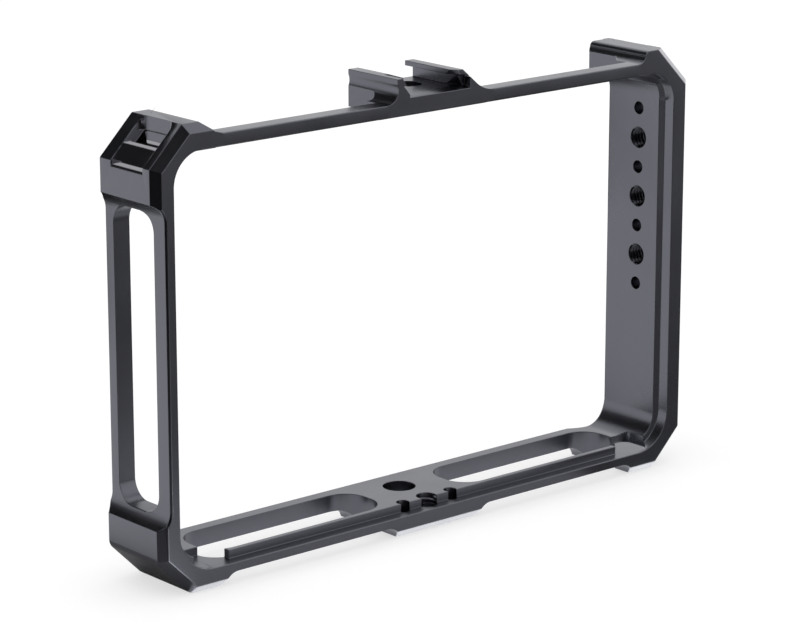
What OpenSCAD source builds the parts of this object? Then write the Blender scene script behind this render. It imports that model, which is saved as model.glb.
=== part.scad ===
// Cage for a small field monitor. The monitor's front flange drops into a shallow step round
// the opening, between two rails, two posts and four cut-off corners.
// X runs across the screen, Y from the front face to the rear, Z up from the feet.
// Places near an end, the top or the rear are measured from the face that they belong to.

/* [Frame] */
// width across the outer side faces
frame_width = 209.4; // [207:0.2:212]
// depth from front face to rear face
frame_depth = 28.5; // [28:0.1:30]
// height of the top rail's upper face above the feet
rail_height = 133.2; // [132:0.1:135]
// height of the corner blocks over the top rail
block_height = 3.7; // [3.4:0.1:4]
// leg of the cut across each outer corner
corner_cut = 11.4; // [10.5:0.1:12]
// bevel on the front outer edges
front_bevel = 2.45; // [2:0.05:2.7]
// bevel on the rear outer edges
rear_bevel = 2.8; // [2.2:0.1:3]

/* [Opening] */
// left side to the opening, in the front face
opening_left = 6.7; // [6.3:0.1:7.1]
// right side to the opening, in the front face
opening_right = 7.6; // [7.2:0.1:8]
// feet to the opening, in the front face
opening_low = 6.74; // [6.4:0.02:7]
// top rail's upper face down to the opening, in the front face
opening_high = 3.7; // [3.4:0.1:4]
// corner radius of the opening at the top
opening_top_radius = 10; // [9:0.1:11]
// corner radius of the opening at the bottom
opening_low_radius = 12; // [11:0.1:13]
// depth of the step behind the front face
step_depth = 3.8; // [3.4:0.1:4.2]
// height of the step at the sides and the bottom
step_height = 2.6; // [2.4:0.1:2.8]
// height of the step under the top rail
top_step = 1.2; // [0.9:0.1:1.4]
// corner radius behind the step
inner_radius = 8; // [7:0.1:9]
// bevel on the inner rear edges of the posts
inner_bevel = 2.4; // [2:0.1:2.8]

/* [Top rail] */
// depth of the top rail
rail_depth = 5.9; // [5.5:0.1:6.4]
// end of the left block's slope to the left end of the top rail
rail_left = 2.8; // [2.4:0.1:3.2]

/* [Left post] */
// depth of the recess in the left side, between the corner blocks
recess = 3.5; // [3:0.1:3.8]
// radius at both ends of that recess
recess_radius = 6; // [5.5:0.1:6.5]
// height at which the recess starts to run out at the bottom
recess_low = 26.5; // [26:0.1:27]
// blocks' tops down to where the recess starts to run out
recess_high = 26.9; // [26.4:0.1:27.4]
// small bevel on the front edge of the left post
post_bevel = 0.6; // [0.4:0.1:1]
// lower end of the window through the left post
window_low = 24.3; // [24:0.1:25]
// blocks' tops down to the upper end of the window
window_high = 24.7; // [24.4:0.1:25.4]
// front face to the window
window_front = 5.8; // [5.5:0.1:6.5]
// rear face to the window
window_rear = 3.6; // [3.4:0.1:4.4]
// corner radius of the window
window_radius = 6; // [5:0.1:7]
// height of the lower joint of the left post
left_low_joint = 22.3; // [22:0.1:23]
// blocks' tops down to the upper joint of the left post
left_high_joint = 22.5; // [22:0.1:23]

/* [Right post] */
// front face to the side holes
side_hole_depth = 12.8; // [12:0.1:14]
// blocks' tops down to the highest side hole
side_hole_top = 20.85; // [20.4:0.05:21.3]
// spacing of the large holes, and of the small holes
hole_pitch = 19.05; // [19.05:0.01:19.05]
// bore of a large threaded hole, at the thread's outer diameter
thread_bore = 6.35; // [5.6:0.05:6.6]
// bore of a small locating hole
pin_bore = 4; // [3.8:0.1:4.2]
// bevel round the mouths of the threaded side holes
mouth_bevel = 0.3; // [0.1:0.05:0.4]
// bevel round the mouths of the locating side holes
pin_bevel = 0.1; // [0.05:0.05:0.2]
// height of the lower joint of the right post
right_low_joint = 22.3; // [22:0.1:23]
// blocks' tops down to the upper joint of the right post
right_high_joint = 17.5; // [17.1:0.1:17.9]

/* [Bottom rail] */
// height of the bottom rail above the surface the cage stands on
ground_gap = 3.94; // [3.6:0.02:4.2]
// half the length of the pad under the middle
pad_half = 15.8; // [15:0.1:16.5]
// side to the inner end of each foot
foot_start = 22.4; // [21.7:0.1:22.9]
// radius where a foot or the pad meets the rail
foot_fillet = 5; // [4.5:0.1:5.5]
// offset of the middle holes from the centre line
middle_offset = -1.2; // [-1.6:0.1:0]
// front face to the threaded row
row_depth = 5; // [4.6:0.1:5.4]
// front face to the large plain hole
plain_depth = 17.8; // [17:0.1:18.5]
// bore of the large plain hole
plain_bore = 10.1; // [9:0.1:10.5]
// centre line to the near end of the left slot
left_slot_near = 16; // [15.5:0.1:17]
// centre line to the near end of the right slot
right_slot_near = 14.1; // [14:0.1:15]
// left side to the far end of the left slot
left_slot_far = 21.7; // [21.2:0.1:22.2]
// right side to the far end of the right slot
right_slot_far = 20.5; // [20.1:0.1:21.2]
// front face to the slots
slot_front = 5.6; // [5.4:0.1:6]
// rear face to the slots
slot_rear = 4.1; // [3.9:0.1:4.5]
// corner radius of the slots
slot_radius = 8; // [7:0.1:9]
// side to each end of the bottom rail
rail_end = 18.7; // [18.3:0.1:19.2]
// side to the inner end of the relief in each bottom corner
relief_start = 26.7; // [25.7:0.1:27.2]
// front face to the rear edge of that relief
relief_rear = 12.3; // [11.5:0.1:13]
// radius at the ends of that relief
relief_radius = 3; // [2.5:0.1:3.4]
// side to the outer end of the low groove in the corner
groove_reach = 14.2; // [13.7:0.1:15.2]
// height of that groove
groove_height = 1.9; // [1.5:0.1:2.2]

/* [Top corners] */
// left side to the left block's upper inner edge
left_block_edge = 17.3; // [16.7:0.1:17.7]
// drop of the slope on that block before it meets the rail's fillet
left_block_drop = 2.9; // [2.7:0.1:3.2]
// run of that slope
left_block_run = 4; // [3.8:0.1:4.3]
// right side to the right block's inner side
right_block_edge = 20.3; // [19.9:0.1:20.7]
// radius of the channel along that side, at the end of the top rail
right_channel = 2.8; // [2.5:0.1:3]
// how far the flat of that side stands out of the channel
right_flat = 0.9; // [0.7:0.1:1.1]
// front face to the start of that flat
right_flat_start = 12.8; // [12:0.1:13.5]
// rounding of the upper inner edge of that block
right_round = 1.6; // [1.2:0.1:2]
// rear face to the lower rear face at that block's inner end
right_rear = 3.4; // [2.9:0.1:3.9]
// right side to the end of that lower rear face
right_rear_end = 14.7; // [13.7:0.1:15.2]
// rounding of the upright edge at that block's inner end
right_rear_round = 1.2; // [0.8:0.1:1.6]

/* [Strap pockets] */
// front face to the strap pockets
pocket_front = 5.5; // [5:0.1:6]
// rear face to the strap pockets
pocket_rear = 8; // [7.5:0.1:8.5]
// corner radius of the pocket
pocket_radius = 2.8; // [2.4:0.1:3]
// side to the pocket's inner wall
pocket_wall = 11.7; // [11.3:0.1:12.1]
// block's top down to the pocket's floor
pocket_floor = 7; // [6.7:0.1:7.5]
// thickness of the bar between the pocket and its lower mouth
bar_thickness = 1.9; // [1.7:0.1:2.2]
// how far the bar's lower edge lies behind the cut-off corner
bar_recess = 0.5; // [0.3:0.1:0.7]
// width of the tunnel behind the bar
tunnel_width = 1.4; // [1.2:0.1:1.6]
// block's top down to the lower edge of the tunnel's mouth
mouth_drop = 12.6; // [12.4:0.1:12.8]
// height of that mouth
mouth_height = 1.4; // [1.2:0.1:1.6]
// rounding of the lip under that mouth
mouth_round = 1; // [0.6:0.1:1.2]

/* [Cold shoe] */
// height of the shoe's rails over the top rail
shoe_height = 7.25; // [7:0.05:7.6]
// depth of the shoe
shoe_depth = 22.5; // [22:0.1:24]
// thickness of the shoe's plate below the top rail's upper face
shoe_low = 4; // [3.8:0.1:4.2]
// height of the slot's floor over the top rail
shoe_floor = 2.1; // [1.9:0.1:2.3]
// thickness of the left lip
lip_low = 2.35; // [2.2:0.05:2.45]
// thickness of the right lip
right_lip_low = 1.55; // [1.45:0.05:1.95]
// run of the left lip's sloping top
lip_shoulder = 5.85; // [5.6:0.05:6.3]
// thickness of the left lip at its edge
lip_edge = 0.5; // [0.4:0.05:0.6]
// width of the slot between its walls
shoe_slot = 18.6; // [18.6:0.1:19]
// width between the lips
shoe_gap = 12.5; // [12.5:0.1:13]
// thickness of the left rail at its narrowest point
shoe_neck = 6.1; // [5.8:0.1:6.4]
// radius of the channel along its outer side
shoe_channel = 4; // [3.8:0.1:4.2]
// how far the flat of that side stands out of the channel
shoe_flat = 0.4; // [0.3:0.05:0.6]
// front face to the start of that flat
shoe_flat_start = 11.3; // [10.8:0.1:12]
// width of the right rail's flat top
slope_top = 3.35; // [3.05:0.1:3.65]
// run of the slope beside that top, before its fillet
slope_foot = 8.5; // [8.1:0.1:8.8]
// radius where that slope meets the top rail
slope_fillet = 10.5; // [9:0.1:11]
// bore of the hole in the shoe's floor
shoe_bore = 8.8; // [8:0.1:9.2]
// front face to that hole
shoe_bore_depth = 14.1; // [13.6:0.1:14.6]
// drop of the floor at its front edge
entry_low = 0.8; // [0.5:0.1:1.1]
// depth of the ramp from that edge up to the floor
entry_ramp = 2.5; // [2:0.1:3]
// depth to which the left rail is cut back for the entry
entry_depth = 8.5; // [8:0.1:9]
// slot's left wall to the top of that cut
entry_top = 4.4; // [4.2:0.1:4.6]
// slot's left wall to that cut, just under the lip
entry_neck = 3.9; // [3.7:0.1:4.1]
// slot's left wall to that cut, just over the lip's underside
entry_beak = 2.9; // [2.7:0.1:3.1]
// slot's left wall to the foot of that cut
entry_foot = 1.6; // [1.4:0.1:1.8]
// how far the slot's right wall is flared at the front
wall_flare = 3.2; // [3:0.1:3.4]
// depth of that flare
wall_flare_depth = 7; // [6:0.1:8]
// how far the right lip is flared at the front
lip_flare = 2.7; // [2.5:0.1:2.9]
// depth of that flare
flare_depth = 3.5; // [3:0.1:4]
// lean of both flares, in degrees
flare_lean = 32; // [30:1:34]
// radius at the end of both side flats
flat_radius = 2; // [1.8:0.1:2.2]

/* [Hidden] */
side = frame_width / 2;
front = -frame_depth / 2;
slack = frame_depth / 10;
facets = 96;
block_top = rail_height + block_height;
left_edge = side - opening_left;
right_edge = side - opening_right;
top_edge = rail_height - opening_high;
well_left = left_edge - step_height;
well_right = right_edge - step_height;
well_low = opening_low + step_height;
well_high = top_edge - top_step;
cut_low = block_top - corner_cut;
cut_in = side - corner_cut;
left_block_x = side - left_block_edge;
right_block_x = side - right_block_edge;
left_rail_end = left_block_x - left_block_run - rail_left;
right_rail_end = right_block_x - right_channel;
right_back = frame_depth - right_rear;
right_back_x = side - right_rear_end;
foot_x = side - foot_start;
foot_run = sqrt(pow(foot_fillet, 2) - pow(foot_fillet - ground_gap, 2));
rail_x = side - rail_end;
relief_x = side - relief_start;
groove_x = side - groove_reach;
left_slot_end = side - left_slot_far;
right_slot_end = side - right_slot_far;
slot_back = frame_depth - slot_rear;
slot_corner = min(slot_radius, (slot_back - slot_front) / 2);
recess_top = block_top - recess_high;
recess_axis = side - recess + recess_radius;
window_top = block_top - window_high;
window_back = frame_depth - window_rear;
window_corner = min(window_radius, (window_back - window_front) / 2);
left_joint_top = block_top - left_high_joint;
right_joint_top = block_top - right_high_joint;
side_hole_z = block_top - side_hole_top;
pocket_back = frame_depth - pocket_rear;
pocket_x = side - pocket_wall;
pocket_z = block_top - pocket_floor;
mouth_low = block_top - mouth_drop;
mouth_top = mouth_low + mouth_height;
shoe_top = rail_height + shoe_height;
shoe_under = rail_height - shoe_low;
floor_z = rail_height + shoe_floor;
entry_z = floor_z - entry_low;
left_lip_z = shoe_top - lip_low;
right_lip_z = shoe_top - right_lip_low;
shoe_right = middle_offset + shoe_slot / 2;
shoe_left = middle_offset - shoe_slot / 2;
lip_right = middle_offset + shoe_gap / 2;
lip_left = middle_offset - shoe_gap / 2;
neck_x = shoe_left - shoe_neck;
channel_x = neck_x - shoe_channel;
channel_z = rail_height + shoe_channel;
slope_start = lip_right + slope_top;
slope_end = slope_start + slope_foot;
slope_angle = atan2(shoe_height, slope_foot);
slope_tangent = slope_fillet * tan(slope_angle / 2);
body_tone = [0.36, 0.37, 0.39];
rail_tone = [0.4, 0.41, 0.43];
shoe_tone = [0.33, 0.34, 0.36];

// Stands a drawing in X and Z up, from one distance behind the front face to another.
module sheet(from, to) {
    translate([0, front + to, 0])
        rotate([90, 0, 0])
            linear_extrude(to - from)
                children();
}

// Raises a plan in X and Y, measured from the front face, between two heights.
module column(low, high) {
    translate([0, front, low])
        linear_extrude(high - low)
            children();
}

// Runs a section in Y and Z, measured from the front face, across the frame.
module beam(from, to) {
    translate([from, front, 0])
        rotate([90, 0, 90])
            linear_extrude(to - from)
                children();
}

// The left over bit between a square corner and the circle that rounds it.
module corner_fill(x, z, way_x, way_z, radius) {
    translate([x, z])
        scale([way_x, way_z])
            difference() {
                translate([-slack, -slack])
                    square(radius + slack);
                translate([radius, radius])
                    circle(radius, $fn = facets);
            }
}

module rounded(low_x, high_x, low_z, high_z, top_radius, low_radius) {
    difference() {
        translate([low_x, low_z])
            square([high_x - low_x, high_z - low_z]);
        corner_fill(low_x, low_z, 1, 1, low_radius);
        corner_fill(high_x, low_z, -1, 1, low_radius);
        corner_fill(low_x, high_z, 1, -1, top_radius);
        corner_fill(high_x, high_z, -1, -1, top_radius);
    }
}

// The space for the monitor: the window in the front face and the larger well behind it.
module monitor_space() {
    sheet(-slack, step_depth)
        rounded(-left_edge, right_edge, opening_low, top_edge, opening_top_radius,
            opening_low_radius);
    sheet(step_depth, frame_depth + slack)
        rounded(-well_left, well_right, well_low, well_high, inner_radius, inner_radius);
}

// Takes the front and rear edges off an outer face that passes through a point.
module outer_bevels(x, z, turn, front_size, rear_size) {
    reach = frame_depth;
    translate([x, 0, z])
        rotate([0, turn, 0])
            translate([-reach, 0, 0])
                union() {
                    beam(0, reach * 2)
                        polygon([[-slack, slack], [-slack, -front_size - slack],
                            [front_size + slack, slack]]);
                    beam(0, reach * 2)
                        polygon([[frame_depth + slack, slack],
                            [frame_depth + slack, -rear_size - slack],
                            [frame_depth - rear_size - slack, slack]]);
                }
}

// Takes the rear edge off one straight inner side of a post.
module inner_bevel_run(x, way, low, high) {
    column(low, high)
        polygon([[x - way * slack, frame_depth + slack],
            [x + way * (inner_bevel + slack), frame_depth + slack],
            [x - way * slack, frame_depth - inner_bevel - slack]]);
}

// Takes the rear edge off an inner corner and runs out beside it.
module inner_bevel_corner(x, z) {
    translate([x, front + frame_depth - inner_bevel, z])
        rotate([-90, 0, 0])
            cylinder(h = inner_bevel, r1 = inner_radius, r2 = inner_radius + inner_bevel, $fn = facets);
}

// The cut under the bottom rail between the middle pad and one foot.
module underside(way) {
    near = pad_half + foot_run;
    far = foot_x - foot_run;
    scale([way, 1])
        union() {
            translate([near, -slack])
                square([far - near, ground_gap + slack]);
            translate([near, ground_gap - foot_fillet])
                circle(foot_fillet, $fn = facets);
            translate([far, ground_gap - foot_fillet])
                circle(foot_fillet, $fn = facets);
        }
}

// The relief at one end of the bottom rail, and its low groove into the corner.
module relief(way) {
    scale([way, 1, 1])
        union() {
            column(opening_low, well_low + slack)
                rounded(relief_x, well_right - inner_radius / 2, step_depth - relief_radius,
                    relief_rear, relief_radius, relief_radius);
            column(opening_low, opening_low + groove_height)
                rounded(relief_x, groove_x, step_depth - relief_radius, relief_rear,
                    relief_radius, relief_radius);
        }
}

module rail_slot(from, to) {
    column(-slack, well_low + slack)
        rounded(from, to, slot_front, slot_back, slot_corner, slot_corner);
}

module upright_bore(x, depth, bore, low, high) {
    translate([x, front + depth, low])
        cylinder(h = high - low, d = bore, $fn = facets);
}

module side_bore(z, bore, mouth) {
    translate([0, front + side_hole_depth, z])
        rotate([0, 90, 0])
            union() {
                translate([0, 0, well_right - slack])
                    cylinder(h = side - well_right + slack * 2, d = bore, $fn = facets);
                translate([0, 0, well_right])
                    cylinder(h = mouth, d1 = bore + mouth * 2, d2 = bore, $fn = facets);
                translate([0, 0, side - mouth])
                    cylinder(h = mouth, d1 = bore, d2 = bore + mouth * 2, $fn = facets);
            }
}

// The recess between the blocks on the left side, seen from the front.
module left_recess() {
    translate([-recess_axis - recess_radius, recess_low])
        square([recess_radius * 2, recess_top - recess_low]);
    translate([-recess_axis, recess_low])
        circle(recess_radius, $fn = facets);
    translate([-recess_axis, recess_top])
        circle(recess_radius, $fn = facets);
}

// Takes the front edge off the left post and off the curves at its two ends.
module post_edge() {
    column(recess_low, recess_top)
        polygon([[-side + recess - slack, -slack], [-side + recess + post_bevel + slack, -slack],
            [-side + recess - slack, post_bevel + slack]]);
    for (height = [recess_low, recess_top])
        translate([-recess_axis, front, height])
            rotate([-90, 0, 0])
                cylinder(h = post_bevel, r1 = recess_radius + post_bevel, r2 = recess_radius, $fn = facets);
}

// A pocket in the cut-off corner and the tunnel that leaves a bar for a strap.
module strap_pocket(way) {
    diagonal = side + cut_low;
    bar_side = diagonal - bar_thickness * sqrt(2);
    tunnel_side = bar_side - tunnel_width * sqrt(2);
    scale([way, 1, 1])
        union() {
            column(pocket_z, block_top + slack)
                rounded(pocket_x, side + slack, pocket_front, pocket_back, pocket_radius,
                    pocket_radius);
            sheet(pocket_front, pocket_back)
                union() {
                    polygon([[bar_side - pocket_z - slack, pocket_z + slack],
                        [bar_side - mouth_top, mouth_top],
                        [diagonal - mouth_top - bar_recess * sqrt(2), mouth_top],
                        [diagonal - pocket_z, pocket_z], [side + slack, pocket_z],
                        [side + slack, mouth_low], [tunnel_side - mouth_low, mouth_low],
                        [tunnel_side - pocket_z - slack, pocket_z + slack]]);
                    difference() {
                        translate([side - mouth_round, mouth_low - mouth_round])
                            square([mouth_round + slack, mouth_round + mouth_height / 2]);
                        translate([side - mouth_round, mouth_low - mouth_round])
                            circle(mouth_round, $fn = facets);
                    }
                }
        }
}

module bottom_rail() {
    color(rail_tone)
        difference() {
            sheet(0, frame_depth)
                difference() {
                    translate([-rail_x, 0])
                        square([rail_x * 2, well_low]);
                    underside(1);
                    underside(-1);
                }
            monitor_space();
            outer_bevels(0, 0, 180, front_bevel, 0);
            translate([middle_offset, 0, 0])
                outer_bevels(frame_depth, 0, 180, front_bevel, 0);
            outer_bevels(-rail_x, 0, 180, front_bevel, 0);
            outer_bevels(rail_x, 0, 180, front_bevel, 0);
            rail_slot(-left_slot_end, -left_slot_near);
            rail_slot(right_slot_near, right_slot_end);
            relief(1);
            relief(-1);
            inner_bevel_corner(well_right - inner_radius, well_low + inner_radius);
            inner_bevel_corner(inner_radius - well_left, well_low + inner_radius);
            upright_bore(middle_offset, row_depth, thread_bore, -slack, well_low + slack);
            upright_bore(middle_offset - hole_pitch / 2, row_depth, pin_bore, -slack, well_low + slack);
            upright_bore(middle_offset + hole_pitch / 2, row_depth, pin_bore, -slack, well_low + slack);
            upright_bore(middle_offset, plain_depth, plain_bore, -slack, well_low + slack);
        }
}

module top_rail(from, to) {
    color(rail_tone)
        difference() {
            sheet(0, rail_depth)
                translate([from, well_high - slack])
                    square([to - from, rail_height - well_high + slack]);
            monitor_space();
        }
}

module top_rail_left() {
    top_rail(-left_rail_end, channel_x);
}

module top_rail_right() {
    top_rail(slope_end + slope_tangent, right_rail_end);
}

module left_post() {
    color(body_tone)
        difference() {
            sheet(0, frame_depth)
                difference() {
                    translate([-side, left_low_joint])
                        square([side - well_left, left_joint_top - left_low_joint]);
                    left_recess();
                }
            monitor_space();
            post_edge();
            outer_bevels(-side, left_low_joint, -90, front_bevel, rear_bevel);
            outer_bevels(-side, left_joint_top, -90, front_bevel, rear_bevel);
            inner_bevel_run(-well_left, -1, left_low_joint - slack, left_joint_top + slack);
            beam(-side - slack, slack - well_left)
                rounded(window_front, window_back, window_low, window_top, window_corner,
                    window_corner);
        }
}

module right_post() {
    color(body_tone)
        difference() {
            sheet(0, frame_depth)
                translate([well_right, right_low_joint])
                    square([side - well_right, right_joint_top - right_low_joint]);
            monitor_space();
            for (step = [0:4])
                outer_bevels(side, right_low_joint + frame_depth * step, 90, front_bevel, rear_bevel);
            inner_bevel_run(well_right, 1, right_low_joint - slack, right_joint_top + slack);
            for (step = [0:3])
                side_bore(side_hole_z - hole_pitch * step, pin_bore, pin_bevel);
            for (step = [0:2])
                side_bore(side_hole_z - hole_pitch * (step + 1 / 2), thread_bore, mouth_bevel);
        }
}

module corner_bottom_left() {
    color(body_tone)
        difference() {
            sheet(0, frame_depth)
                difference() {
                    polygon([[-rail_x, 0], [-cut_in, 0], [-side, corner_cut],
                        [-side, left_low_joint], [-rail_x, left_low_joint]]);
                    left_recess();
                }
            monitor_space();
            post_edge();
            outer_bevels(-side, left_low_joint, -90, front_bevel, rear_bevel);
            outer_bevels(-side, corner_cut, -135, front_bevel, rear_bevel);
            outer_bevels(-rail_x, 0, 180, front_bevel, 0);
            inner_bevel_run(-well_left, -1, well_low + inner_radius, left_low_joint + slack);
            inner_bevel_corner(inner_radius - well_left, well_low + inner_radius);
            relief(-1);
        }
}

module corner_bottom_right() {
    color(body_tone)
        difference() {
            sheet(0, frame_depth)
                polygon([[rail_x, 0], [cut_in, 0], [side, corner_cut],
                    [side, right_low_joint], [rail_x, right_low_joint]]);
            monitor_space();
            outer_bevels(side, right_low_joint, 90, front_bevel, rear_bevel);
            outer_bevels(side, corner_cut, 135, front_bevel, rear_bevel);
            outer_bevels(rail_x, 0, 180, front_bevel, 0);
            inner_bevel_run(well_right, 1, well_low + inner_radius, right_low_joint + slack);
            inner_bevel_corner(well_right - inner_radius, well_low + inner_radius);
            relief(1);
        }
}

module corner_top_left() {
    foot = left_block_x - left_block_run;
    color(body_tone)
        difference() {
            union() {
                sheet(0, frame_depth)
                    difference() {
                        polygon([[-side, left_joint_top], [-side, cut_low], [-cut_in, block_top],
                            [-left_block_x, block_top], [-foot, block_top - left_block_drop],
                            [-foot, left_joint_top]]);
                        left_recess();
                    }
                sheet(0, rail_depth)
                    polygon([[-foot, left_joint_top], [-foot, block_top - left_block_drop],
                        [-left_rail_end, rail_height], [-left_rail_end, left_joint_top]]);
            }
            monitor_space();
            post_edge();
            outer_bevels(-side, left_joint_top, -90, front_bevel, rear_bevel);
            outer_bevels(-side, cut_low, -45, front_bevel, rear_bevel);
            outer_bevels(-cut_in, block_top, 0, front_bevel, rear_bevel);
            inner_bevel_run(-well_left, -1, left_joint_top - slack, well_high - inner_radius);
            inner_bevel_corner(inner_radius - well_left, well_high - inner_radius);
            strap_pocket(-1);
        }
}

module corner_top_right() {
    channel = right_block_x - right_channel;
    flat = right_block_x - right_flat;
    rear_step = frame_depth - right_back;
    color(body_tone)
        difference() {
            sheet(0, frame_depth)
                difference() {
                    polygon([[side, right_joint_top], [side, cut_low], [cut_in, block_top],
                        [right_block_x, block_top], [right_block_x, rail_height + right_channel],
                        [channel, rail_height + right_channel], [channel, right_joint_top]]);
                    translate([channel, rail_height + right_channel])
                        circle(right_channel, $fn = facets);
                    corner_fill(right_block_x, block_top, 1, -1, right_round);
                }
            monitor_space();
            column(well_high - slack, block_top + slack)
                union() {
                    translate([channel - slack, right_flat_start])
                        square([flat - channel + slack, frame_depth]);
                    translate([flat - flat_radius, right_flat_start])
                        circle(flat_radius, $fn = facets);
                    corner_fill(flat, right_back, 1, -1, right_rear_round);
                    polygon([[channel - slack, right_back], [right_back_x, right_back],
                        [right_back_x + rear_step + slack, frame_depth + slack],
                        [channel - slack, frame_depth + slack]]);
                }
            outer_bevels(side, right_joint_top, 90, front_bevel, rear_bevel);
            outer_bevels(side, cut_low, 45, front_bevel, rear_bevel);
            outer_bevels(cut_in, block_top, 0, 0, rear_bevel);
            inner_bevel_run(well_right, 1, right_joint_top - slack, well_high - inner_radius);
            inner_bevel_corner(well_right - inner_radius, well_high - inner_radius);
            strap_pocket(1);
        }
}

// The cold shoe seen from the front, without its hole, its flat and its entry.
module shoe_section() {
    difference() {
        polygon([[channel_x, shoe_under], [channel_x, shoe_top], [slope_start, shoe_top],
            [slope_end - slope_tangent * cos(slope_angle),
                rail_height + slope_tangent * sin(slope_angle)],
            [slope_end + slope_tangent, rail_height], [slope_end, rail_height],
            [slope_end, shoe_under]]);
        translate([channel_x, channel_z])
            circle(shoe_channel, $fn = facets);
        translate([channel_x - slack, channel_z])
            square([shoe_channel + slack - shoe_flat, shoe_channel + slack]);
        translate([slope_end + slope_tangent, rail_height + slope_fillet])
            circle(slope_fillet, $fn = facets);
        polygon([[shoe_left, floor_z], [shoe_left, left_lip_z], [lip_left, left_lip_z],
            [lip_left, left_lip_z + lip_edge], [lip_left - lip_shoulder, shoe_top],
            [lip_left - lip_shoulder, shoe_top + slack], [lip_right, shoe_top + slack],
            [lip_right, right_lip_z], [shoe_right, right_lip_z], [shoe_right, floor_z]]);
    }
}

// Flares one step of the right rail, leaning along with the slope outside it.
module right_flare(x, low, high, spread, depth) {
    reach = high - low + spread;
    wide = spread * cos(flare_lean);
    intersection() {
        column(low, high)
            translate([x - reach, -slack])
                square([reach * 2, depth + slack * 2]);
        translate([x, front, low])
            rotate([0, -flare_lean, 0])
                translate([0, 0, -reach])
                    linear_extrude(reach * 3)
                        polygon([[-reach, depth], [0, depth], [wide, 0],
                            [wide, -slack], [-reach, -slack]]);
    }
}

module cold_shoe() {
    flat = neck_x - shoe_flat;
    color(shoe_tone)
        difference() {
            union() {
                sheet(0, shoe_depth)
                    shoe_section();
                sheet(0, rail_depth)
                    translate([channel_x, well_high - slack])
                        square([slope_end + slope_tangent - channel_x, rail_height - well_high + slack]);
            }
            monitor_space();
            sheet(-slack, entry_depth)
                polygon([[shoe_left - entry_foot, floor_z], [shoe_left - entry_neck, left_lip_z],
                    [shoe_left - entry_beak, left_lip_z], [shoe_left - entry_top, shoe_top],
                    [shoe_left - entry_top, shoe_top + slack], [middle_offset, shoe_top + slack],
                    [middle_offset, floor_z]]);
            beam(shoe_left - entry_foot, shoe_right + wall_flare)
                polygon([[-slack, entry_z], [0, entry_z], [entry_ramp, floor_z],
                    [entry_ramp, floor_z + slack], [-slack, floor_z + slack]]);
            right_flare(shoe_right, floor_z, right_lip_z, wall_flare, wall_flare_depth);
            right_flare(lip_right, right_lip_z, shoe_top + slack, lip_flare, flare_depth);
            column(shoe_under - slack, floor_z + shoe_flat)
                union() {
                    translate([channel_x - slack, shoe_flat_start])
                        square([flat - channel_x + slack, frame_depth]);
                    translate([flat - flat_radius, shoe_flat_start])
                        circle(flat_radius, $fn = facets);
                }
            upright_bore(middle_offset, shoe_bore_depth, shoe_bore, shoe_under - slack, floor_z + slack);
        }
}

bottom_rail();
top_rail_left();
top_rail_right();
left_post();
right_post();
corner_bottom_left();
corner_bottom_right();
corner_top_left();
corner_top_right();
cold_shoe();
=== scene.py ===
import math

import bmesh
import bpy
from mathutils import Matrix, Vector


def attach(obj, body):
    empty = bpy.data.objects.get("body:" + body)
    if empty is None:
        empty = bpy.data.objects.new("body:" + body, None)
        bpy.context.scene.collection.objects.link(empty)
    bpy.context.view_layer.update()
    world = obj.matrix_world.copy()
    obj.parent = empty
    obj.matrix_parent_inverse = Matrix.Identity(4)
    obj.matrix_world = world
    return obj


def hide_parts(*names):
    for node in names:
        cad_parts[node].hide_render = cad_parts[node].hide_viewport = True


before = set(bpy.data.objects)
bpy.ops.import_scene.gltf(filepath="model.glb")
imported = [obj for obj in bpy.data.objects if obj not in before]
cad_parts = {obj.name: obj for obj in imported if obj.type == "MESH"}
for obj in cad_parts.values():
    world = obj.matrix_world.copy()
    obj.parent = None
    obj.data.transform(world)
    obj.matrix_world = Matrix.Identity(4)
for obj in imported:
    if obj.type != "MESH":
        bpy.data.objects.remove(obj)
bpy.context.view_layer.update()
mm = 0.001
print("frame loaded:", len(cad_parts), "nodes")

# Camera
shot = {
    "place": (-0.60741, -0.70343, 0.30952),  # metres, in the cage's own frame
    "turn": -40.628,                         # degrees about Z, looking back and to the right
    "dip": 14.880,                           # degrees below level
    "lens": 143.03,                          # mm
    "sensor": 36.0,                          # mm
    "seesFrom": 0.01,                        # metres
    "seesTo": 20.0,
}
cameraData = bpy.data.cameras.new("shotCamera")
cameraData.lens = shot["lens"]
cameraData.sensor_width = shot["sensor"]
cameraData.clip_start = shot["seesFrom"]
cameraData.clip_end = shot["seesTo"]
camera = bpy.data.objects.new("shotCamera", cameraData)
camera.location = shot["place"]
camera.rotation_euler = (math.radians(90 - shot["dip"]), 0.0, math.radians(shot["turn"]))
bpy.context.collection.objects.link(camera)
bpy.context.scene.camera = camera
print("camera set")

# Satin anodised aluminium: fine blasted grain over slow changes of sheen
anodised = {
    "colour": (0.140, 0.143, 0.165),
    "frameTone": 1.0,
    "sideThreadPaintedShade": 0.5,     # painted shade: a darker copy, so the side holes' ridges stay in shade
    "baseThreadCutAndHighlight": 1.5,     # the tripod hole's ridges are cut bright, and part of the brightness is a painted highlight
    "roughness": 0.30,
    "sheenSpread": 0.035,      # how far the roughness wanders
    "sheenRange": (0.3, 0.7),  # the part of the noise that makes it wander
    "sheenScale": 55.0,        # patches a metre
    "sheenDetail": 3.0,
    "grainScale": 5200.0,      # blasted pits a metre
    "grainDetail": 2.0,
    "grainDepth": 0.000012,    # metres
    "grainStrength": 0.35,
}


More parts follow.
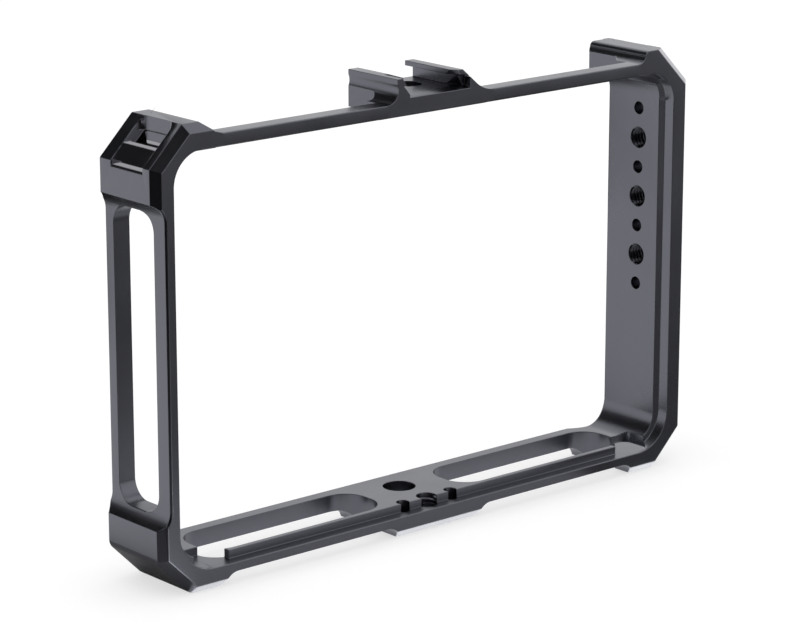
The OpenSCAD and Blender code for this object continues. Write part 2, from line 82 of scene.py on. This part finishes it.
def makeAnodised(name, tone):
    material = bpy.data.materials.new(name)
    material.use_nodes = True
    nodes = material.node_tree.nodes
    links = material.node_tree.links
    shader = nodes["Principled BSDF"]
    colour = [channel * tone for channel in anodised["colour"]]
    shader.inputs["Base Color"].default_value = colour + [1.0]
    shader.inputs["Metallic"].default_value = 1.0
    place = nodes.new("ShaderNodeTexCoord")
    cloud = nodes.new("ShaderNodeTexNoise")
    cloud.inputs["Scale"].default_value = anodised["sheenScale"]
    cloud.inputs["Detail"].default_value = anodised["sheenDetail"]
    spread = nodes.new("ShaderNodeMapRange")
    spread.inputs["From Min"].default_value = anodised["sheenRange"][0]
    spread.inputs["From Max"].default_value = anodised["sheenRange"][1]
    spread.inputs["To Min"].default_value = anodised["roughness"] - anodised["sheenSpread"]
    spread.inputs["To Max"].default_value = anodised["roughness"] + anodised["sheenSpread"]
    grain = nodes.new("ShaderNodeTexNoise")
    grain.inputs["Scale"].default_value = anodised["grainScale"]
    grain.inputs["Detail"].default_value = anodised["grainDetail"]
    pits = nodes.new("ShaderNodeBump")
    pits.inputs["Strength"].default_value = anodised["grainStrength"]
    pits.inputs["Distance"].default_value = anodised["grainDepth"]
    links.new(place.outputs["Object"], cloud.inputs["Vector"])
    links.new(cloud.outputs["Fac"], spread.inputs["Value"])
    links.new(spread.outputs["Result"], shader.inputs["Roughness"])
    links.new(place.outputs["Object"], grain.inputs["Vector"])
    links.new(grain.outputs["Fac"], pits.inputs["Height"])
    links.new(pits.outputs["Normal"], shader.inputs["Normal"])
    return material


frameFinish = makeAnodised("satinAnodised", anodised["frameTone"])
# side holes' ridges: painted shade, a darker copy of the frame's finish
shadedThreadFinish = makeAnodised("paintedShadeThreadAnodised", anodised["sideThreadPaintedShade"])
# tripod hole's ridges: brighter cut metal, with a painted highlight on top
cutAndHighlightFinish = makeAnodised("cutThreadWithPaintedHighlight", anodised["baseThreadCutAndHighlight"])
print("finishes made")

# Working steps shared by the members: what each takes and where it stops
working = {
    "weld": 0.002,       # mm, joins the loose triangles of a CAD node
    "flat": 0.5,         # degrees, faces this near to one plane become one
    "onJoint": 0.01,     # mm from the joint's plane
    "cornerFrom": 15,    # degrees, the least turn of an edge that is rounded
    "cornerRun": 0.5,    # share of such an edge that runs from front to back
    "cornerSteps": 5,
    "softFrom": 28,      # degrees, the least turn of an edge that is broken
    "softSteps": 2,
    "boreEnd": 0.9,      # a face that looks along X more than this isn't a bore's wall
    "smoothTo": 32,      # degrees, the largest turn that is shaded smooth
}


def takeNode(nodeName, pieceName):
    bpy.ops.object.select_all(action="DESELECT")
    piece = bpy.data.objects.new(pieceName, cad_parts[nodeName].data.copy())
    bpy.context.collection.objects.link(piece)
    piece.select_set(True)
    bpy.context.view_layer.objects.active = piece
    bpy.ops.object.mode_set(mode="EDIT")
    bpy.ops.mesh.select_all(action="SELECT")
    bpy.ops.mesh.remove_doubles(threshold=working["weld"] * mm)
    bpy.ops.mesh.dissolve_limited(angle_limit=math.radians(working["flat"]))
    bpy.ops.object.mode_set(mode="OBJECT")
    return piece


def startPicking(piece, kind):
    bpy.ops.object.mode_set(mode="EDIT")
    bpy.ops.mesh.select_mode(type=kind)
    bpy.ops.mesh.select_all(action="DESELECT")
    return bmesh.from_edit_mesh(piece.data)


def bevelPicked(piece, reach, segments):
    bmesh.update_edit_mesh(piece.data)
    bpy.ops.mesh.bevel(offset=reach * mm, segments=segments, affect="EDGES", clamp_overlap=False)
    bpy.ops.object.mode_set(mode="OBJECT")


def middleOf(edge):
    return (edge.verts[0].co + edge.verts[1].co) / 2


def liesInJoint(edge, joints):
    for axis, place in joints:
        away = [abs(vertex.co["xyz".index(axis)] - place * mm) for vertex in edge.verts]
        if max(away) < working["onJoint"] * mm:
            return True
    return False


def nearBore(point, bores):
    for acrossY, acrossZ, reach in bores:
        if math.hypot(point.y - acrossY * mm, point.z - acrossZ * mm) < reach * mm:
            return True
    return False


def insideBox(point, boxes):
    for low, high in boxes:
        if all(low[axis] * mm < point[axis] < high[axis] * mm for axis in range(3)):
            return True
    return False


def isCorner(edge, member):
    if edge.calc_face_angle(0) <= math.radians(working["cornerFrom"]):
        return False
    if liesInJoint(edge, member["joints"]):
        return False
    run = (edge.verts[0].co - edge.verts[1].co).normalized()
    if abs(run.y) <= working["cornerRun"]:
        return False
    for cornerX, cornerZ in member["corners"]:
        ends = [Vector((vertex.co.x - cornerX * mm, 0, vertex.co.z - cornerZ * mm)).length
                for vertex in edge.verts]
        if max(ends) < member["cornerReach"] * mm:
            return True
    return False


def roundCorners(piece, member):
    mesh = startPicking(piece, "EDGE")
    for edge in mesh.edges:
        if isCorner(edge, member):
            edge.select_set(True)
    bevelPicked(piece, member["cornerRound"], working["cornerSteps"])


def softenEdges(piece, member):
    mesh = startPicking(piece, "EDGE")
    for edge in mesh.edges:
        if edge.calc_face_angle(0) < math.radians(working["softFrom"]):
            continue
        if liesInJoint(edge, member["joints"]):
            continue
        if nearBore(middleOf(edge), member.get("bores", [])):
            continue
        if insideBox(middleOf(edge), member.get("leave", [])):
            continue
        edge.select_set(True)
    bevelPicked(piece, member["softEdge"], working["softSteps"])


def partBores(piece, member):
    mesh = startPicking(piece, "FACE")
    for face in mesh.faces:
        isWall = abs(face.normal.x) < working["boreEnd"]
        if isWall and nearBore(face.calc_center_median(), member["bores"]):
            face.select_set(True)
    bmesh.update_edit_mesh(piece.data)
    bpy.ops.mesh.separate(type="SELECTED")
    bpy.ops.object.mode_set(mode="OBJECT")
    walls = [made for made in bpy.context.selected_objects if made is not piece][0]
    walls.name = piece.name + "Bores"
    return walls


def finishMember(piece, nodeName):
    bpy.ops.object.select_all(action="DESELECT")
    piece.select_set(True)
    bpy.context.view_layer.objects.active = piece
    bpy.ops.object.shade_smooth_by_angle(angle=math.radians(working["smoothTo"]))
    bpy.ops.object.modifier_add(type="WEIGHTED_NORMAL")
    piece.modifiers[-1].keep_sharp = True
    bpy.ops.object.modifier_apply(modifier=piece.modifiers[-1].name)
    piece.data.materials.clear()
    piece.data.materials.append(frameFinish)
    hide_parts(nodeName)
    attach(piece, "root")
    print("made", piece.name, len(piece.data.polygons), "faces")


# A member that isn't mirrored has plain tones beside it: the other metal doesn't reflect it
def makeMember(nodeName, pieceName, member):
    piece = takeNode(nodeName, pieceName)
    if member.get("corners"):
        roundCorners(piece, member)
    softenEdges(piece, member)
    if member.get("bores"):
        finishMember(partBores(piece, member), nodeName)
    finishMember(piece, nodeName)
    piece.visible_glossy = member["mirrored"]


# Bottom rail, with its slots and the tripod hole in the pad
bottomRail = {
    "softEdge": 0.22,  # mm
    "joints": [("x", -86), ("x", 86)],
    "mirrored": True,
}
makeMember("bottom_rail", "bottomRail", bottomRail)

# The two lengths of the top rail
topRails = {
    "softEdge": 0.36,
    "joints": [("x", -80.6), ("x", 81.6), ("x", -20.6), ("x", 20.77)],
    "mirrored": True,
}
makeMember("top_rail_left", "topRailLeft", topRails)
makeMember("top_rail_right", "topRailRight", topRails)

# Left post, thin, with a long window and a recessed outer side
leftPost = {
    "softEdge": 0.25,
    "joints": [("z", 22.3), ("z", 114.4)],
    "mirrored": True,
}
makeMember("left_post", "leftPost", leftPost)

# Right post, with the row of threaded and locating holes; their walls become a piece of their own
rightPost = {
    "softEdge": 0.25,
    "joints": [("z", 22.3), ("z", 119.4)],
    "bores": [(-1.45, 116.05 - 19.05 * step / 2, 3.9) for step in range(7)],  # Y, Z, reach
    "mirrored": False,
}
makeMember("right_post", "rightPost", rightPost)

# Threads, each a ridge wound round its bore, with the bore's wall left bare between its turns
sideThread = {
    "major": 3.175,   # mm, the bore's own radius
    "minor": 2.62,
    "pitch": 1.27,
    "around": 40,     # steps in a turn
    "crest": 0.07,    # half widths, in pitches
    "root": 0.42,
    "start": 94.6,    # mm along the bore
    "length": 9.9,
    "holes": [(0, -1.45, 106.525), (0, -1.45, 87.475), (0, -1.45, 68.425)],
}
baseThread = {
    "major": 3.175,
    "minor": 2.68,
    "pitch": 1.27,
    "around": 40,
    "crest": 0.06,
    "root": 0.28,
    "start": 0.2,
    "length": 6.5,
    "hole": (-1.2, -9.25, 0),
    "rearStart": 5.28,   # where the pad steps up, the thread goes on to its top
    "rearLength": 3.82,
    "rearFrom": -10.45,  # mm, Y of the pad's step
}
winding = {
    "weld": 0.001,   # mm, joins the turns of a ridge
    "smoothTo": 25,  # degrees
}


def windThread(name, thread, finish, start, length, place, turned=(0, 0, 0), rearFrom=None):
    bpy.ops.object.select_all(action="DESELECT")
    bpy.ops.mesh.primitive_circle_add(vertices=4, radius=thread["pitch"] / 2 * mm,
                                      fill_type="NGON", rotation=(math.pi / 2, 0, 0))
    ridge = bpy.context.object
    ridge.name = name
    bpy.ops.object.transform_apply(location=True, rotation=True, scale=True)
    pitch = thread["pitch"] * mm
    profile = [(thread["minor"], -thread["crest"]), (thread["minor"], thread["crest"]),
               (thread["major"], thread["root"]), (thread["major"], -thread["root"])]
    for vertex, (radius, rise) in zip(ridge.data.vertices, profile):
        vertex.co = (radius * mm, 0, rise * pitch)
    bpy.ops.object.modifier_add(type="SCREW")
    turn = ridge.modifiers[-1]
    turn.screw_offset = pitch
    turn.iterations = int((length - thread["pitch"]) / thread["pitch"])
    turn.steps = thread["around"]
    turn.render_steps = thread["around"]
    turn.use_merge_vertices = False
    bpy.ops.object.modifier_apply(modifier=turn.name)
    bpy.ops.object.mode_set(mode="EDIT")
    bpy.ops.mesh.select_all(action="SELECT")
    bpy.ops.mesh.remove_doubles(threshold=winding["weld"] * mm)
    bpy.ops.mesh.normals_make_consistent(inside=False)
    bpy.ops.object.mode_set(mode="OBJECT")
    ridge.location = (0, 0, (start + thread["pitch"] / 2) * mm)
    bpy.ops.object.transform_apply(location=True, rotation=True, scale=True)
    ridge.rotation_euler = turned
    bpy.ops.object.transform_apply(location=True, rotation=True, scale=True)
    ridge.location = [value * mm for value in place]
    bpy.ops.object.transform_apply(location=True, rotation=True, scale=True)
    if rearFrom is not None:
        bpy.ops.object.mode_set(mode="EDIT")
        bpy.ops.mesh.select_all(action="SELECT")
        bpy.ops.mesh.bisect(plane_co=(0, rearFrom * mm, 0), plane_no=(0, 1, 0), clear_inner=True)
        bpy.ops.object.mode_set(mode="OBJECT")
    bpy.ops.object.shade_smooth_by_angle(angle=math.radians(winding["smoothTo"]))
    ridge.data.materials.append(finish)
    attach(ridge, "root")


for count, hole in enumerate(sideThread["holes"], 1):
    windThread("sideThread" + str(count), sideThread, shadedThreadFinish,
               sideThread["start"], sideThread["length"], hole, turned=(0, math.pi / 2, 0))
windThread("baseThread", baseThread, cutAndHighlightFinish,
           baseThread["start"], baseThread["length"], baseThread["hole"])
windThread("baseThreadRear", baseThread, cutAndHighlightFinish, baseThread["rearStart"],
           baseThread["rearLength"], baseThread["hole"], rearFrom=baseThread["rearFrom"])
print("threads wound")

# Lower corner blocks: the outer edges of the cut-off corner are rounded from front to back
lowerBlocks = {
    "softEdge": 0.25,
    "joints": [("z", 22.3), ("x", -86), ("x", 86)],
    "corners": [(-93.3, 0), (-104.7, 11.4), (93.3, 0), (104.7, 11.4)],  # X and Z
    "cornerReach": 2.6,
    "cornerRound": 1.4,
    "mirrored": False,
}
makeMember("corner_bottom_left", "cornerBottomLeft", lowerBlocks)
makeMember("corner_bottom_right", "cornerBottomRight", lowerBlocks)

# Upper corner blocks: edges too close for a bevel are left sharp, inside the boxes given
upperBlocks = {
    "softEdge": 0.22,
    "joints": [("z", 114.4), ("z", 119.4), ("x", -80.6), ("x", 81.6)],
    "leave": [
        ((80, -10.9, 124), (94.6, -10.3, 131)), ((-94.6, -10.9, 124), (-80, -10.3, 131)),
        ((-94.4, -10.4, 135), (-92.6, -4.4, 138)), ((-94.4, 2.2, 135), (-92.6, 7.4, 138)),
        ((92.6, -10.4, 135), (94.4, -4.4, 138)), ((92.6, 2.2, 135), (94.4, 7.4, 138)),
        ((-105, -9.5, 123), (-103, 7, 126.5)), ((103, -9.5, 123), (105, 7, 126.5)),
    ],
    "mirrored": False,
}
makeMember("corner_top_left", "cornerTopLeft", upperBlocks)
makeMember("corner_top_right", "cornerTopRight", upperBlocks)

# Cold shoe
coldShoe = {
    "softEdge": 0.15,
    "joints": [("x", -20.6), ("x", 20.77)],
    "mirrored": True,
}
makeMember("cold_shoe", "coldShoe", coldShoe)

# Studio
studio = {
    "floorSize": 6.0,        # metres
    "floorColour": (0.45, 0.45, 0.45, 1.0),
    "floorRoughness": 0.9,
    "floorGlow": 0.60,       # seen by the camera and in the metal, so that the sheet is white
    "worldColour": (1, 1, 1, 1),
    "worldLevel": 1.0,
    "lampAim": (0, 0, 0.07),
    "lampWay": (0.96, 0.26, 0.10),  # from the cage; the upper right corner's edge mirrors it
    "lampAway": 1.2,
    "lampWide": 0.45,
    "lampTall": 0.45,
    "lampLevel": 0.95,
}
bpy.ops.object.select_all(action="DESELECT")
bpy.ops.mesh.primitive_plane_add(size=studio["floorSize"], location=(0, 0, 0))
floor = bpy.context.object
floor.name = "floor"
white = bpy.data.materials.new("whiteFloor")
white.use_nodes = True
floorNodes = white.node_tree.nodes
floorLinks = white.node_tree.links
floorShader = floorNodes["Principled BSDF"]
floorShader.inputs["Base Color"].default_value = studio["floorColour"]
floorShader.inputs["Roughness"].default_value = studio["floorRoughness"]
floorShader.inputs["Specular IOR Level"].default_value = 0.0
floorShader.inputs["Emission Color"].default_value = (1, 1, 1, 1)
rays = floorNodes.new("ShaderNodeLightPath")
seen = floorNodes.new("ShaderNodeMath")
seen.operation = "MAXIMUM"
through = floorNodes.new("ShaderNodeMath")
through.operation = "MAXIMUM"
glow = floorNodes.new("ShaderNodeMath")
glow.operation = "MULTIPLY"
glow.inputs[1].default_value = studio["floorGlow"]
floorLinks.new(rays.outputs["Is Camera Ray"], seen.inputs[0])
floorLinks.new(rays.outputs["Is Glossy Ray"], seen.inputs[1])
floorLinks.new(seen.outputs[0], through.inputs[0])
floorLinks.new(rays.outputs["Is Transmission Ray"], through.inputs[1])
floorLinks.new(through.outputs[0], glow.inputs[0])
floorLinks.new(glow.outputs[0], floorShader.inputs["Emission Strength"])
floor.data.materials.append(white)
print("floor laid")

lampData = bpy.data.lights.new("sideLamp", "AREA")
lampData.shape = "RECTANGLE"
lampData.size = studio["lampWide"]
lampData.size_y = studio["lampTall"]
lampData.energy = studio["lampLevel"] * math.pi * studio["lampWide"] * studio["lampTall"]
lamp = bpy.data.objects.new("sideLamp", lampData)
way = Vector(studio["lampWay"]).normalized()
lamp.location = Vector(studio["lampAim"]) + way * studio["lampAway"]
lamp.rotation_euler = way.to_track_quat("Z", "Y").to_euler()
lamp.visible_camera = False
bpy.context.collection.objects.link(lamp)
print("lamp hung")

# Painted reflections that only the metal sees: paper shade, and glow for painted highlights
reflectionPapers = {
    "paintedPaleCard": (0.62, 0.0),
    "paintedHeelCard": (0.30, 0.0),
    "paintedGreyCard": (0.16, 0.0),
    "paintedDarkCard": (0.02, 0.0),
    # glows though it is no lamp: painted highlights in the metal
    "paintedHighlightCard": (0.0, 2.6),
}


def makeReflectionPaper(name, shade, glow):
    paper = bpy.data.materials.new(name)
    paper.use_nodes = True
    shader = paper.node_tree.nodes["Principled BSDF"]
    shader.inputs["Base Color"].default_value = (shade, shade, shade, 1)
    shader.inputs["Roughness"].default_value = 1.0
    shader.inputs["Specular IOR Level"].default_value = 0.0
    shader.inputs["Emission Color"].default_value = (1, 1, 1, 1)
    shader.inputs["Emission Strength"].default_value = glow
    return paper


def lying(left, right, near, far, height):
    return [(left, near, height), (right, near, height), (left, far, height), (right, far, height)]


def standing(left, right, place, low, high):
    return [(left, place, low), (right, place, low), (left, place, high), (right, place, high)]


# Paper and corners of each sheet of painted reflection, in metres
reflectionCards = {
    # painted reflection on the floor before the cage: front faces' tone, lighter low on the left
    "frontCard": ("paintedGreyCard", lying(-0.11, 1.2, -1.4, -0.10, 0.0002)),
    "footCardLeft": ("paintedPaleCard", lying(-0.11, 0.07, -0.10, -0.0175, 0.0002)),
    "footCardRight": ("paintedGreyCard", lying(0.07, 1.2, -0.10, -0.0175, 0.0002)),
    # painted dark reflection before and left of the cage: the dark edges between front and left
    # side
    "nearCard": ("paintedDarkCard", [(-2.2, -2.0, 0.0002), (-0.11, -2.0, 0.0002),
                               (-2.2, 0.25, 0.0002), (-0.11, -0.0175, 0.0002)]),
    "roomCard": ("paintedDarkCard", [(-2.2, 0.25, 0.0), (-0.1, -2.0, 0.0),
                               (-1.7, 0.25, 2.6), (-0.05, -1.4, 2.6)]),
    # painted reflection behind the cage, for faces that look down: painted shade on the arc inside
    # the upper right corner, and on the flare at the top of the left post
    "rearCard": ("paintedGreyCard", lying(0.06, 0.40, 0.04, 0.30, 0.0002)),
    "arcCard": ("paintedDarkCard", standing(0.065, 0.160, 0.05, 0.073, 0.112)),
    "flareCard": ("paintedDarkCard", standing(-0.118, -0.045, 0.05, 0.058, 0.100)),
    # painted reflection beside the lower left corner: its bevels and its cut-off face,
    # and a painted highlight for the bright line on its edge
    "sideCard": ("paintedGreyCard", lying(-0.24, -0.11, -0.14, -0.0175, 0.0004)),
    "paintedHeelCard": ("paintedHeelCard", lying(-0.125, -0.094, -0.03, 0.05, 0.0006)),
    "paintedEdgeHighlight": ("paintedHighlightCard", [(-0.138, -0.45, 0.0008), (-0.114, -0.45, 0.0008),
                              (-0.106, -0.02, 0.0008), (-0.090, -0.02, 0.0008)]),
    # painted dark reflection high behind the cage: upper left corner's faces that look up and left
    "upperCard": ("paintedDarkCard", [(-0.75, 0.55, 0.28), (0.10, 0.75, 0.28),
                                (-0.75, 0.35, 0.85), (0.10, 0.45, 0.85)]),
    # painted highlight under the front edges of the feet and the pad: the bright line along each
    "paintedHighlightStrip1": ("paintedHighlightCard", lying(-0.093, -0.078, -0.0142, -0.0119, 0.0001)),
    "paintedHighlightStrip2": ("paintedHighlightCard", lying(-0.022, 0.022, -0.0142, -0.0119, 0.0001)),
    "paintedHighlightStrip3": ("paintedHighlightCard", lying(0.078, 0.096, -0.0142, -0.0119, 0.0001)),
}


def setReflectionCard(name, paper, corners):
    bpy.ops.object.select_all(action="DESELECT")
    bpy.ops.mesh.primitive_plane_add(size=2.0, location=(0, 0, 0))
    card = bpy.context.object
    card.name = name
    for vertex, corner in zip(card.data.vertices, corners):
        vertex.co = corner
    card.data.materials.append(paper)
    # seen only in the metal's reflections, where it paints light and shade
    card.visible_camera = False
    card.visible_diffuse = False
    card.visible_shadow = False


madeReflectionPapers = {name: makeReflectionPaper(name, shade, level) for name, (shade, level) in reflectionPapers.items()}
for cardName, (paperName, cardCorners) in reflectionCards.items():
    setReflectionCard(cardName, madeReflectionPapers[paperName], cardCorners)
print("cards set:", len(reflectionCards))

world = bpy.data.worlds.new("studio")
bpy.context.scene.world = world
world.use_nodes = True
world.node_tree.nodes["Background"].inputs["Color"].default_value = studio["worldColour"]
world.node_tree.nodes["Background"].inputs["Strength"].default_value = studio["worldLevel"]

bpy.context.scene.view_settings.view_transform = "Standard"
print("studio set")
